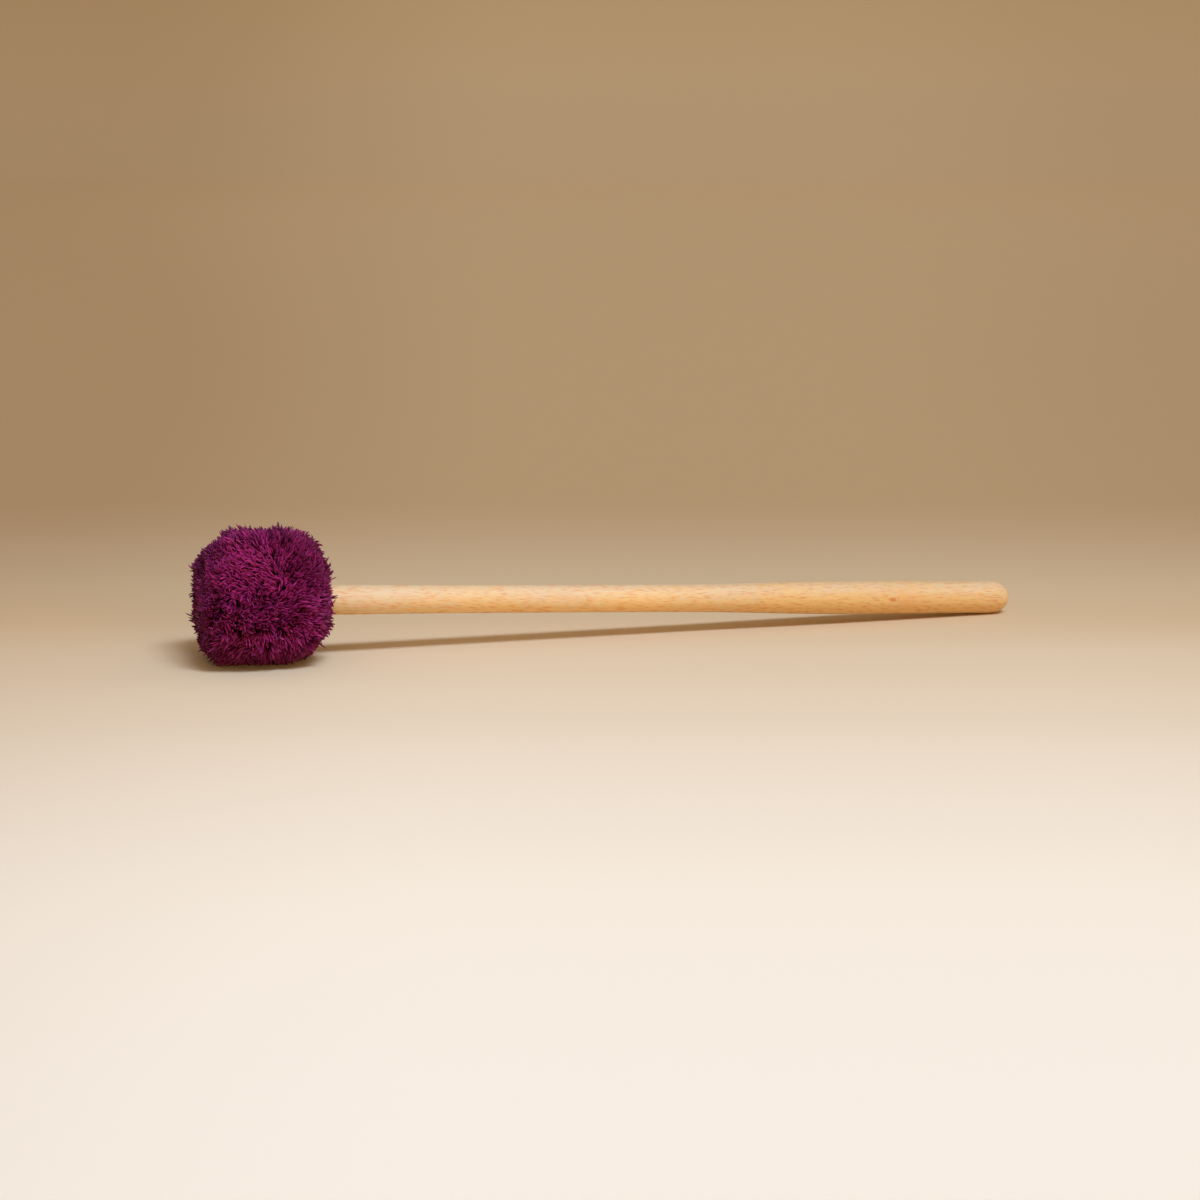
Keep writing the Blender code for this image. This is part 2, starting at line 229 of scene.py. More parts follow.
class Shader:
    """The nodes of one material or world."""

    def __init__(self, owner):
        owner.use_nodes = True
        self.owner = owner
        self.nodes = owner.node_tree.nodes
        self.links = owner.node_tree.links
        self.nodes.clear()

    def add(self, kind, settings=(), sockets=(), output=0):
        """A node of this type: first its settings, then the values or links of its sockets."""
        node = self.nodes.new(kind)
        for name, value in dict(settings).items():
            if name == "stops":
                for _ in value[2:]:
                    node.color_ramp.elements.new(1.0)
                for stop, (place, tint) in zip(node.color_ramp.elements, value):
                    stop.position = place
                    stop.color = tint
            elif name == "interpolation":
                node.color_ramp.interpolation = value
            else:
                setattr(node, name, value)
        for name, value in dict(sockets).items():
            if isinstance(value, Value):
                self.links.new(value.socket, node.inputs[name])
            else:
                node.inputs[name].default_value = value
        return Value(self, node.outputs[output]) if node.outputs else node

    def mix(self, factor, first, second):
        """A colour between two colours."""
        return self.add("ShaderNodeMix", {"data_type": "RGBA"}, {0: factor, 6: first, 7: second}, 2)

    def between(self, value, low, high):
        """0 where the value is at low, 1 where it is at high, and smooth between them."""
        settings = {"interpolation_type": "SMOOTHSTEP"}
        return self.add("ShaderNodeMapRange", settings, {"Value": value, 1: low, 2: high})

    def noise(self, vector, scale, detail=2.0):
        return self.add("ShaderNodeTexNoise", (), {"Vector": vector, "Scale": scale, "Detail": detail})

    def parts(self, vector):
        """The three numbers of a vector."""
        node = self.add("ShaderNodeSeparateXYZ", (), {"Vector": vector}).socket.node
        return [Value(self, socket) for socket in node.outputs]

    def joined(self, x, y, z):
        return self.add("ShaderNodeCombineXYZ", (), {0: x, 1: y, 2: z})

    def reach(self, vector, direction):
        """How far a vector reaches in a direction."""
        sockets = {0: vector, 1: direction}
        return self.add("ShaderNodeVectorMath", {"operation": "DOT_PRODUCT"}, sockets, "Value")

    def place(self):
        """Where a point is, in the row frame."""
        return self.add("ShaderNodeTexCoord", (), (), "Object")

    def own_place(self):
        """Where a point is in the mallet's own frame: down, sideways, along the axis."""
        sockets = {"Vector": self.place(), "Location": AXIS.translation, "Rotation": AXIS.to_euler()}
        return self.add("ShaderNodeMapping", {"vector_type": "TEXTURE"}, sockets)

    def attribute(self, name):
        return self.add("ShaderNodeAttribute", {"attribute_name": name}, (), "Fac")

    def bump(self, height, strength, depth):
        """The normal of a surface with this relief."""
        sockets = {"Height": height, "Strength": strength, "Distance": depth}
        return self.add("ShaderNodeBump", (), sockets)

    def finish(self, **sockets):
        """The surface itself, from the values or links of the Principled shader's sockets."""
        named = {name.replace("_", " "): value for name, value in sockets.items()}
        surface = self.add("ShaderNodeBsdfPrincipled", (), named)
        self.add("ShaderNodeOutputMaterial", (), {"Surface": surface})
        return self.owner


def opaque(tint):
    return (*tint, 1.0)


def darker(tint, factor):
    return opaque([part * factor for part in tint])


def from_middle(x, y):
    return (x * x + y * y) ** 0.5


def oval(parts, factors):
    """The sum of these lengths' squares, each times its factor."""
    squares = [part * part * factor for part, factor in zip(parts, factors)]
    return sum(squares[1:], squares[0])


def handle_corners():
    """The places of the CAD handle's corners, as one array."""
    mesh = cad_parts["handle"].data
    places = np.empty(len(mesh.vertices) * 3, np.float32)
    mesh.vertices.foreach_get("co", places)
    return places.reshape(-1, 3).astype(float)


def mallet_axis():
    """The mallet's own frame, measured on the CAD handle: x down, y sideways, z from head to butt.

    It is turned, so its corners' mean lies on the axis and their longest direction along it.
    """
    corners = handle_corners()
    middle = corners.mean(0)
    along = Vector(np.linalg.svd(corners - middle, full_matrices=False)[2][0])
    along *= math.copysign(1, along.x)
    side = along.cross(-UP).normalized()
    down = side.cross(along)
    butt = ((corners - middle) @ np.array(along)).max()
    origin = Vector(middle) + along * (butt - MALLET_LENGTH)
    turn = Matrix((down, side, along)).transposed().to_4x4()
    return Matrix.Translation(origin) @ turn


AXIS = mallet_axis()


def to_world(places):
    """Places in the mallet's own frame, as places in the row frame."""
    matrix = np.array(AXIS)
    return places @ matrix[:3, :3].T + matrix[:3, 3]


def to_own(places):
    matrix = np.array(AXIS.inverted())
    return places @ matrix[:3, :3].T + matrix[:3, 3]


def unit(vectors):
    return vectors / np.maximum(np.linalg.norm(vectors, axis=-1, keepdims=True), 1e-12)


def new_piece(name, places, face_groups, material, map_groups=None):
    """A smooth-shaded mesh object. Each group is an array of faces with as many corners each.

    map_groups gives each of those corners its place on the map that textures are baked to.
    """
    mesh = bpy.data.meshes.new(name)
    corners = np.concatenate([faces.ravel() for faces in face_groups])
    counts = np.concatenate([np.full(len(faces), faces.shape[1]) for faces in face_groups])
    mesh.vertices.add(len(places))
    mesh.vertices.foreach_set("co", places.astype(np.float32).ravel())
    mesh.loops.add(len(corners))
    mesh.loops.foreach_set("vertex_index", corners.astype(np.int32))
    mesh.polygons.add(len(counts))
    mesh.polygons.foreach_set("loop_start", (np.cumsum(counts) - counts).astype(np.int32))
    mesh.update(calc_edges=True)
    if map_groups:
        layer = mesh.uv_layers.new(name=BAKE_MAP)
        spots = np.concatenate([spots.reshape(-1, 2) for spots in map_groups])
        layer.data.foreach_set("uv", spots.astype(np.float32).ravel())
    mesh.shade_smooth()
    mesh.set_sharp_from_angle(angle=SHARP_ANGLE)
    mesh.materials.append(material)
    piece = bpy.data.objects.new(name, mesh)
    bpy.context.scene.collection.objects.link(piece)
    return piece


def turned(outline, steps):
    """Places, faces and map places of an outline carried round the axis in equal turns.

    outline holds (radius, place along the axis) in order. Where it starts and ends on the
    axis it closes there in fans, and otherwise its last point joins its first. The map has
    the turn across and the outline's points up.
    """
    outline = np.asarray(outline, float)
    pole = outline[0, 0] < 1e-9
    rings = outline[1:-1] if pole else outline
    turns = np.arange(steps) * 2 * np.pi / steps
    radius, along = rings[:, :1], rings[:, 1:] + 0 * turns
    places = np.stack([radius * np.cos(turns), radius * np.sin(turns), along], -1).reshape(-1, 3)
    row = np.arange(len(rings) - 1 if pole else len(rings))[:, None]
    here, after = np.arange(steps), (np.arange(steps) + 1) % steps
    low, high = row * steps, (row + 1) % len(rings) * steps
    quads = np.stack([low + here, low + after, high + after, high + here], -1).reshape(-1, 4)

    def on_map(across, up):
        spots = np.broadcast_arrays((here[:, None] + across) / steps, up / (len(rings) + 1))
        return np.stack(spots, -1).reshape(-1, len(across), 2)

    spots = on_map((0, 1, 1, 0), row[:, None] + (1, 1, 2, 2))
    if not pole:
        return places, [quads], [spots]
    count = len(places)
    ends = np.array([[0, 0, outline[0, 1]], [0, 0, outline[-1, 1]]])
    last = (len(rings) - 1) * steps
    first_fan = np.stack([np.full(steps, count), after, here], -1)
    last_fan = np.stack([np.full(steps, count + 1), last + here, last + after], -1)
    first_spots = on_map((0.5, 1, 0), np.array([0, 1, 1]))
    last_spots = on_map((0.5, 0, 1), np.array([1, 0, 0]) + len(rings))
    return np.vstack([places, ends]), [quads, first_fan, last_fan], [spots, first_spots, last_spots]


def enclosed(places, face_groups):
    """The volume that the faces enclose, negative where they face inwards."""
    volume = 0.0
    for faces in face_groups:
        first = places[faces[:, 0]]
        for step in range(1, faces.shape[1] - 1):
            volume += (first * np.cross(places[faces[:, step]], places[faces[:, step + 1]])).sum()
    return volume / 6


def revolved_piece(name, outline, steps, material, finish=None):
    """A piece turned about the mallet's axis and facing outwards, its places changed by finish."""
    places, faces, spots = turned(outline, steps)
    places = to_world(places)
    if finish:
        places = finish(places)
    if enclosed(places, faces) < 0:
        faces = [group[:, ::-1] for group in faces]
        spots = [group[:, ::-1] for group in spots]
    return new_piece(name, places, faces, material, spots)


def smoothed(points, step):
    """Points about step apart on a curve of cubic stretches through the given ones."""
    gaps = np.linalg.norm(np.diff(points, axis=0), axis=1)
    distance = np.append(0, np.cumsum(gaps))
    slopes = np.gradient(points, distance, axis=0)
    spots = np.linspace(0, distance[-1], round(distance[-1] / step) + 1)
    piece = np.clip(np.searchsorted(distance, spots, "right") - 1, 0, len(gaps) - 1)
    width = gaps[piece, None]
    t = (spots - distance[piece])[:, None] / width
    start, end = points[piece], points[piece + 1]
    first, last = slopes[piece] * width, slopes[piece + 1] * width
    curve = start + first * t + (3 * (end - start) - 2 * first - last) * t**2
    return curve + (2 * (start - end) + first + last) * t**3


def handle_outline():
    """The CAD handle's outline, (radius, place along the axis) from the butt to the pilot hole.

    Outside the head a smooth curve runs through the rings of corners. Shoulder, tenon and pilot
    hole keep their edges.
    """
    apart = 0.1 * MM  # corners nearer to each other than this are one
    hole_or_tenon = 3 * MM  # wider than the pilot hole and thinner than the tenon
    corners = to_own(handle_corners())
    points = np.stack([np.hypot(corners[:, 0], corners[:, 1]), corners[:, 2]], -1)
    points = points[np.argsort(-points[:, 1])]
    outside = points[:, 1] > STICK_START
    outer = points[outside]
    breaks = np.nonzero(np.diff(outer[:, 1]) < -apart)[0] + 1
    rings = np.array([ring.mean(0) for ring in np.split(outer, breaks)])
    mirrored = rings[1:3][::-1] * (-1, 1)
    curve = smoothed(np.vstack([mirrored, rings]), 0.9 * MM)
    curve = np.vstack([rings[:1], curve[curve[:, 0] > 2 * apart]])
    inside = np.unique(np.round(points[~outside] / apart), axis=0) * apart
    tenon, hole = inside[inside[:, 0] > hole_or_tenon], inside[inside[:, 0] < hole_or_tenon]
    tenon = tenon[np.lexsort((-tenon[:, 0], -tenon[:, 1]))]
    return np.vstack([curve, tenon, hole[np.argsort(hole[:, 1])]])


def smooth_noise(places, size, random, waves=14):
    """Three uneven values at each place: sums of sine waves, about size long, in random directions."""
    directions = unit(random.normal(size=(waves, 3))) * random.uniform(0.7, 1.4, (waves, 1))
    starts = random.uniform(0, 2 * np.pi, (waves, 3))
    phase = places @ directions.T * (2 * np.pi / size)
    return np.sin(phase[:, :, None] + starts).sum(1) * math.sqrt(2 / waves)


def pile_radius(head, z):
    """Outside of the pile at z: two superelliptic arcs that meet at the widest place."""
    before = z < head.widest
    away = np.where(before, 1 - z / head.widest, (z - head.widest) / (head.head_length - head.widest))
    face = np.where(before, head.front_face, head.neck_face) / 2
    fill = (1 - np.clip(np.abs(away), 0, 1) ** head.fullness) ** (1 / head.fullness)
    return face + (head.diameter / 2 - face) * fill


def pile_outline(head):
    """The pile's outline from the front's middle over the side to the handle, in even steps.

    It gives the distances along it, its (radius, z) and its normals, which turn evenly past edges.
    """
    turn = np.linspace(0, np.pi, 900)
    z = head.head_length * (1 - np.cos(turn)) / 2
    front = np.linspace(0, head.front_face / 2, 60, endpoint=False)
    back = np.linspace(head.neck_face / 2, PILE_HOLE, 20)[1:]
    radius = np.concatenate([front, pile_radius(head, z), back])
    along = np.concatenate([front * 0, z, back * 0 + head.head_length])
    distance = np.concatenate([[0], np.cumsum(np.hypot(np.diff(radius), np.diff(along)))])
    even = np.linspace(0, distance[-1], 700)
    outline = np.stack([np.interp(even, distance, part) for part in (radius, along)], -1)
    tangents = unit(np.gradient(outline, axis=0))
    soft = np.hanning(25) / np.hanning(25).sum()
    padded = np.pad(tangents, ((12, 12), (0, 0)), mode="edge")
    tangents = unit(np.stack([np.convolve(part, soft, "valid") for part in padded.T], -1))
    return even, outline, tangents[:, ::-1] * (1, -1)


def seams(head):
    """The places of the front seam and the neck seam along the axis."""
    return head.front_seam, head.head_length - head.neck_seam


def scattered(head, spacing, random):
    """Places over the outside of the pile, in shaken rows one spacing apart, and the normals there."""
    shake = 0.42
    distance, outline, outline_normals = pile_outline(head)
    rows = np.arange(spacing / 2, distance[-1], spacing)
    round_row = 2 * np.pi * np.interp(rows, distance, outline[:, 0])
    counts = np.maximum(1, np.round(round_row / spacing)).astype(int)
    row = np.repeat(rows, counts)
    step = np.arange(len(row)) - np.repeat(np.cumsum(counts) - counts, counts)
    turn = (step + random.uniform(-shake, shake, len(row))) / np.repeat(counts, counts)
    turn = (turn + np.repeat(random.uniform(0, 1, len(rows)), counts)) * 2 * np.pi
    row = np.clip(row + random.uniform(-shake, shake, len(row)) * spacing, 0, distance[-1])

    def carried_round(pairs):
        across, along = (np.interp(row, distance, part) for part in pairs.T)
        return np.stack([across * np.cos(turn), across * np.sin(turn), along], -1)

    return carried_round(outline), unit(carried_round(outline_normals))


def step_up(values, low, high):
    """0 below low, 1 above high and smooth between them; the other way round if low is above high."""
    share_up = np.clip((values - low) / (high - low), 0, 1)
    return share_up * share_up * (3 - 2 * share_up)


def hump(values, middle, width):
    """1 at the middle and fading to 0 on both sides of it, by twice the width."""
    return np.exp(-(((values - middle) / width) ** 2))


class Zones:
    """Where places are on the head, and how far each of them is in each zone, from 0 to 1.

    turn is in degrees from the top: 90 is the camera's side and 180 the table. z is in
    millimetres from the front, behind in millimetres behind the parting, and down is -1 at the
    top and 1 at the table. The upper zone reaches from the top to the camera's side, the middle
    one runs along that side, and the lower one is under it. On the slope towards the camera the
    nap is flat in front of the parting, and a hollow lies behind it.
    """

    def __init__(self, pile, places):
        self.places = places
        self.out = unit(places * (1, 1, 0))
        self.down = self.out[:, 0]
        self.turn = np.degrees(np.arctan2(-places[:, 1], -places[:, 0]))
        self.z = places[:, 2] / MM
        self.upper = step_up(self.turn, -45, 0) * step_up(self.turn, 86, 68)
        self.middle = step_up(self.turn, 66, 82) * step_up(self.turn, 116, 98)
        self.lower = step_up(self.turn, 96, 120)
        self.behind = self.z - (pile.parting / MM + 6 * step_up(self.turn, 42, 66))
        self.parting = self.upper * hump(self.behind, 0, 2)
        flat = step_up(self.turn, 8, 26) * step_up(self.turn, 84, 64) * step_up(self.z, 7, 16)
        self.flat = flat * step_up(self.behind, 1, -4)
        hollow = step_up(self.turn, 22, 36) * step_up(self.turn, 84, 68)
        self.hollow = hollow * hump(self.behind, 9, 5)


def pile_flow(head, zones, normals, random):
    """Which way the pile lies along the cloth: uneven, with a pull in each zone and at the seams."""
    flow = 0.45 * smooth_noise(zones.places, 24 * MM, random)
    flow += 0.85 * smooth_noise(zones.places, 8 * MM, random)
    around = np.stack([-zones.out[:, 1], zones.out[:, 0], 0 * zones.z], -1)
    flow += around * (1.1 * zones.lower - 0.7 * zones.upper - 0.3 * zones.middle)[:, None]
    away = np.tanh(zones.behind / 2.5) * step_up(zones.z, 60, 44)
    flow[:, 2] += 1.6 * away * zones.upper + 1.3 * zones.middle + (zones.z - 30) / 18 * zones.lower
    for seam in seams(head):
        from_seam = zones.places[:, 2] - seam
        flow[:, 2] += np.sign(from_seam) * hump(from_seam, 0, 3 * MM)
    flow -= normals * (flow * normals).sum(1, keepdims=True)
    return unit(flow)


def pile_height(head, pile, zones, uneven, random):
    """How high the tips stand over the cloth.

    The pile is lower where the nap is flat, over the seams, at the parting, in the hollow, round
    the front's rim, at both ends, on the underside and in small pits here and there.
    """
    z, under = zones.z, step_up(zones.down, 0.5, 0.9)
    height = (head.cloth_depth + pile.proud) * (1 + pile.height_spread * uneven - 0.14 * zones.flat)
    at_seam = [hump(zones.places[:, 2], seam, 1.5 * MM) for seam in seams(head)]
    height -= pile.valley * np.maximum(*at_seam)
    from_axis = np.hypot(zones.places[:, 0], zones.places[:, 1]) / MM
    rim = step_up(z, 22, 3) * step_up(from_axis, 11, 20) * zones.down**2
    cut = rim * np.where(zones.down < 0, 2.5, 0.8) + 0.5 * zones.parting + zones.hollow
    cut += under * (1.4 + 2.2 * step_up(z, 34, 51)) + 0.9 * step_up(z, 8, 2) + 1.2 * step_up(z, 53, 60)
    pits = smooth_noise(zones.places, 8 * MM, random)[:, 0] - 1.1
    cut += 1.4 * np.clip(pits, 0, 1)
    return np.maximum(height - cut * MM, SHORTEST_PILE)


def pile_painted_light(zones):
    """Painted light and shade of the strands: over 0 on the flat nap, lighter partly for its flat lie and
    partly as painted light, and under 0 where shade is painted: in the hollow, on the top and towards the far
    side, under the head by the table and on the front end. Towards the neck the strands are darker too.
    """
    # painted light on the flat nap, painted shade in the hollow
    light = 2 * zones.flat - zones.hollow
    # painted shade on the top and far side, under the head and on the front end; darker at the neck end
    light -= 1.7 * step_up(zones.turn, 34, 10) * step_up(zones.turn, -50, -15)
    light -= 2.4 * step_up(zones.turn, 104, 136)
    light -= step_up(zones.z, 11, 2) * (1.5 + 0.8 * step_up(zones.turn, 80, 110))
    return light - 1.7 * step_up(zones.z, 46, 57)


def pile_lie(head, pile, places, normals, random):
    """Which way the pile lies at each place, how far it leans, how high it stands, and its painted light and
    shade.
    """
    zones = Zones(pile, places)
    flow = pile_flow(head, zones, normals, random)
    uneven = smooth_noise(places, 15 * MM, random)
    lean = 32 + 8 * uneven[:, 0] + 24 * zones.flat - 12 * zones.hollow - 16 * zones.parting
    lean = np.radians(np.clip(lean + 10 * zones.middle + 8 * zones.lower, 8, 68))
    height = pile_height(head, pile, zones, uneven[:, 1], random)
    return flow, lean, height, pile_painted_light(zones)


def strayed(lie, lean, height, spreads, random):
    """The lie, lean and height of strands or tufts, each changed at random by its spread."""
    lie = unit(lie + random.normal(0, spreads[0], lie.shape))
    lean = lean + random.normal(0, spreads[1], len(lean))
    return lie, lean, height * (1 + random.normal(0, spreads[2], len(height)))


def strand_paths(roots, normals, lie, lean, height):
    """Each strand's middle line: nearly upright at the cloth, then turning evenly past its lean.

    Its tip stands at its height over the cloth, unless that takes more than the longest strand.
    """
    steps = STRAND_LEVELS - 1
    slope = lean[:, None] * (0.15 + 1.25 * (np.arange(steps) + 0.5) / steps)
    step = np.minimum(height / np.cos(slope).sum(1), LONGEST_STRAND / steps)[:, None]
    start = np.zeros((len(roots), 1))
    up = np.hstack([start, np.cumsum(np.cos(slope) * step, 1)])
    aside = np.hstack([start, np.cumsum(np.sin(slope) * step, 1)])
    return roots[:, None] + up[..., None] * normals[:, None] + aside[..., None] * lie[:, None]


def nearest(places, centres, chunk=4000):
    """The index of the nearest centre to each place."""
    found = []
    for start in range(0, len(places), chunk):
        part = places[start : start + chunk]
        apart = (part**2).sum(1)[:, None] - 2 * part @ centres.T + (centres**2).sum(1)
        found.append(apart.argmin(1))
    return np.concatenate(found)


def keep_off_stick(paths):
    """Moves what would reach into the stick behind the head out to just over its surface."""
    radius = np.linalg.norm(paths[..., :2], axis=-1, keepdims=True)
    least = np.where(paths[..., 2:] > STICK_START, STICK_CLEARED, 0)
    paths[..., :2] *= np.maximum(radius, least) / np.maximum(radius, 0.001 * MM)


def grown_strands(head, pile, random):
    """Every strand: its place on the head, its middle line, its widths and its tone.

    A strand follows its own lie and is drawn to its tuft's middle line towards the tip, with a
    slight wave. Its tone is its place's painted light and shade, changed a little at random for
    each tuft and strand.
    """
    strands, normals = scattered(head, pile.spacing, random)
    tufts, tuft_normals = scattered(head, pile.tuft_spacing, random)
    count = len(strands)
    everyone, all_normals = np.vstack([strands, tufts]), np.vstack([normals, tuft_normals])
    # light is the painted light and shade at each place
    *lies, light = pile_lie(head, pile, everyone, all_normals, random)
    light = light[:count]
    spreads = (0.35, 0.16, pile.height_spread)
    tuft_lies = strayed(*(part[count:] for part in lies), spreads, random)
    spreads = (pile.stray, 0.42 * pile.stray, pile.height_spread)
    strand_lies = strayed(*(part[:count] for part in lies), spreads, random)
    depth = head.cloth_depth + 0.3 * MM  # roots end a little inside the cloth
    own = strand_paths(strands - depth * normals, normals, *strand_lies)
    shared = strand_paths(tufts - depth * tuft_normals, tuft_normals, *tuft_lies)
    tuft = nearest(strands, tufts)
    shares = np.linspace(0, 1, STRAND_LEVELS)
    gather = pile.gathering * random.uniform(0.5, 1.3, count)[:, None] * shares**1.3
    paths = own + (shared[tuft] - own) * gather[..., None]
    waves = random.uniform(0.5, 1.0, (count, 1))
    starts = random.uniform(0, 1, (count, 1))
    swing = np.sin(2 * np.pi * (shares * waves + starts)) * shares * 0.25 * MM
    paths += unit(random.normal(size=(count, 3)))[:, None] * swing[..., None]
    keep_off_stick(paths)
    widths = pile.strand_width * random.uniform(0.75, 1.25, (count, 1))
    widths = widths * (1 - 0.1 * light[:, None].clip(0, 2)) * np.minimum(1, 4 * (1 - shares[:-1])) ** 0.6
    tone = 0.45 + 0.20 * random.normal(size=count) + 0.10 * random.normal(size=len(tufts))[tuft]
    # the tone takes in the painted light and shade of the strand's place
    return strands, paths, widths, np.clip(tone + 0.18 * light, 0, 1)


def pile_groups(head, strands):
    """Which strands each piece of pile has: those of the front, of the neck, and of the band's sectors."""
    front, back = seams(head)
    z, turn = strands[:, 2], np.arctan2(strands[:, 1], strands[:, 0])
    sector = np.floor((turn / (2 * np.pi) + 0.5) * BAND_PIECES).clip(0, BAND_PIECES - 1)
    groups = {"pile_front": z < front, "pile_neck": z > back}
    for number in range(BAND_PIECES):
        groups[f"pile_band_{number + 1}"] = (z >= front) & (z <= back) & (sector == number)
    return groups


def on_the_table(places):
    """Presses down smoothly what would reach under the table, and spreads it outwards a little."""
    spread = 0.1
    limit = PRESSED_BELOW
    low = places[:, 2] < limit
    pressed = limit * np.exp((places[low, 2] - limit) / limit)
    contact = np.array(AXIS @ Vector((0, 0, CONTACT)))[:2]
    outwards = unit(places[low, :2] - contact)
    places[low, :2] += outwards * (pressed - places[low, 2])[:, None] * spread
    places[low, 2] = pressed
    return places


def strand_mesh(paths, widths, sides=4):
    """A tapering tube along each path: rings of a few corners, closed at the root and in a tip.

    It also gives each point's share of its strand's length and its share of the way round it.
    """
    count, levels = paths.shape[:2]
    tangents = unit(np.gradient(paths, axis=1))
    slight = np.array([1e-4, 2e-4, 3e-4])  # gives a straight strand a direction to start from
    reference = unit(np.cross(tangents[:, 0], tangents[:, -1] + slight))[:, None]
    first = unit(np.cross(tangents, reference))
    second = np.cross(tangents, first)
    turns = np.arange(sides)[:, None] * 2 * np.pi / sides
    circle = first[:, :-1, None] * np.cos(turns) + second[:, :-1, None] * np.sin(turns)
    rings = paths[:, :-1, None] + widths[:, :, None, None] / 2 * circle
    places = np.concatenate([rings.reshape(count, -1, 3), paths[:, -1:]], 1)
    here, after = np.arange(sides), (np.arange(sides) + 1) % sides
    faces = [np.stack([np.zeros(sides - 2, int), here[2:], here[1:-1]], -1)]
    for level in range(levels - 2):
        low, high = level * sides, (level + 1) * sides
        faces.append(np.stack([low + here, low + after, high + after], -1))
        faces.append(np.stack([low + here, high + after, high + here], -1))
    top = (levels - 2) * sides
    faces.append(np.stack([top + here, top + after, np.full(sides, top + sides)], -1))
    faces = np.concatenate(faces)
    everyone = np.arange(count)[:, None, None] * places.shape[1] + faces
    along = np.append(np.repeat(np.arange(levels - 1) / (levels - 1), sides), 1.0)
    around = np.append(np.tile(here / sides, levels - 1), 0.5)
    return places.reshape(-1, 3), everyone.reshape(-1, 3), np.tile(along, count), np.tile(around, count)


def mark_strands(mesh, faces, along, around, tone):
    """Gives each point its share of the strand's length and its tone, and each face its place by both."""
    for name, values in (("along", along), ("tone", tone)):
        attribute = mesh.attributes.new(name, "FLOAT", "POINT")
        attribute.data.foreach_set("value", values.astype(np.float32))
    layer = mesh.uv_layers.new(name=BAKE_MAP)
    across = 0.02 + 0.94 * tone[faces] + 0.02 * around[faces]
    up = 0.02 + 0.96 * along[faces]
    layer.data.foreach_set("uv", np.stack([across, up], -1).astype(np.float32).ravel())


def plush_material(pile):
    """Plush: painted shade at the root and the fibres' bright colour at the tip; each strand lighter or
    darker by its tone, which holds painted light and shade and a random part.

    Clear dyed fibres reflect their own colour, so the gloss is tinted.
    """
    shader = Shader(bpy.data.materials.new("plush pile"))
    along = shader.attribute("along")
    tone = shader.attribute("tone")
    bright = shader.mix(tone, darker(pile.bright, 0.35), darker(pile.bright, 1.35))
    # painted shade: darker towards the root, as deep in the pile
    base = shader.mix(shader.between(along, 0.30, 0.90), opaque(pile.root_shade), bright)
    gloss = opaque(pile.gloss)
    return shader.finish(Base_Color=base, Roughness=0.42, Specular_IOR_Level=0.36, Specular_Tint=gloss)


def cloth_material(pile):
    """The knitted backing under the pile, in shades of the strands' root colour, which is painted shade."""
    shader = Shader(bpy.data.materials.new("plush backing"))
    knit = shader.noise(shader.place(), 1400)
    base = shader.mix(knit, darker(pile.root_shade, 0.8), darker(pile.root_shade, 2.2))
    return shader.finish(Base_Color=base, Roughness=0.9, Normal=shader.bump(knit, 0.4, 0.3 * MM))


def beech_material(settings):
    """Beech: year rings about a pith outside the stick, short ray flecks and one small knot.

    Its lengths are in millimetres, in the mallet's own frame. Grain lines part round the knot. The wood is
    painted paler on top, where a sheen would lie, and warmer underneath, where the warm floor's light
    reaches.
    """
    shader = Shader(bpy.data.materials.new("beech"))
    x, y, z = [part * (1 / MM) for part in shader.parts(shader.own_place())]
    knot_x, knot_y, knot_z = x + 0.4, y + 8.4, z - settings.knot_place / MM
    near = oval((knot_z, knot_x, knot_y), (0.014, 0.09, 0.03)).fading()
    bent = x - knot_x * near * 0.62
    wander = shader.noise(shader.joined(x * 0.03, y * 0.03, z * 0.010), 1.0, 1.0) * 2.0
    pith_x, pith_y = bent - 26.0 - z * 0.03, y - 64.0
    from_pith = from_middle(pith_x, pith_y)
    around = pith_x.maths("ARCTAN2", pith_y) * 70.0 + wander
    rings = (from_pith / (settings.ring_spacing / MM) + wander).maths("FRACT")
    flecks = ray_flecks(shader, settings, around, from_pith, z)
    fibre = shader.noise(shader.joined(around * 2.4, from_pith * 1.2, z * 0.16), 1.0, 3.0)
    streaks = shader.noise(shader.joined(around * 0.9, from_pith * 0.4, z * 0.2), 1.0, 2.0)
    broad = shader.noise(shader.joined(x * 0.06, y * 0.06, z * 0.016), 1.0, 1.0)
    grip = shader.between(z, 200.0, 320.0)
    uneven = broad + (fibre - 0.5) * 0.35 + (streaks - 0.5) * 0.6
    # x * 0.025 is painted light: paler on top, warmer underneath
    tint = shader.between(uneven + x * 0.025 + grip * 0.14, 0.22, 0.84)
    base = shader.mix(tint, opaque(settings.pale), opaque(settings.warm))
    for amount in (rings**4.0 * 0.16, shader.between(fibre, 0.54, 0.72) * 0.32, flecks * 0.72):
        base = shader.mix(amount, base, opaque(settings.fleck))
    # The grip is darker, between 200 and 320 mm from the front of the head.
    base = shader.mix(grip * settings.grip_darkening, base, (0, 0, 0, 1))
    base = knotted(shader, settings, base, knot_x, knot_y, knot_z)
    bump = shader.bump(fibre * 0.6 - flecks * 0.4, 0.12, 0.2 * MM)
    roughness = 0.62 + fibre * 0.12
    return shader.finish(Base_Color=base, Roughness=roughness, Normal=bump, Specular_IOR_Level=0.9)


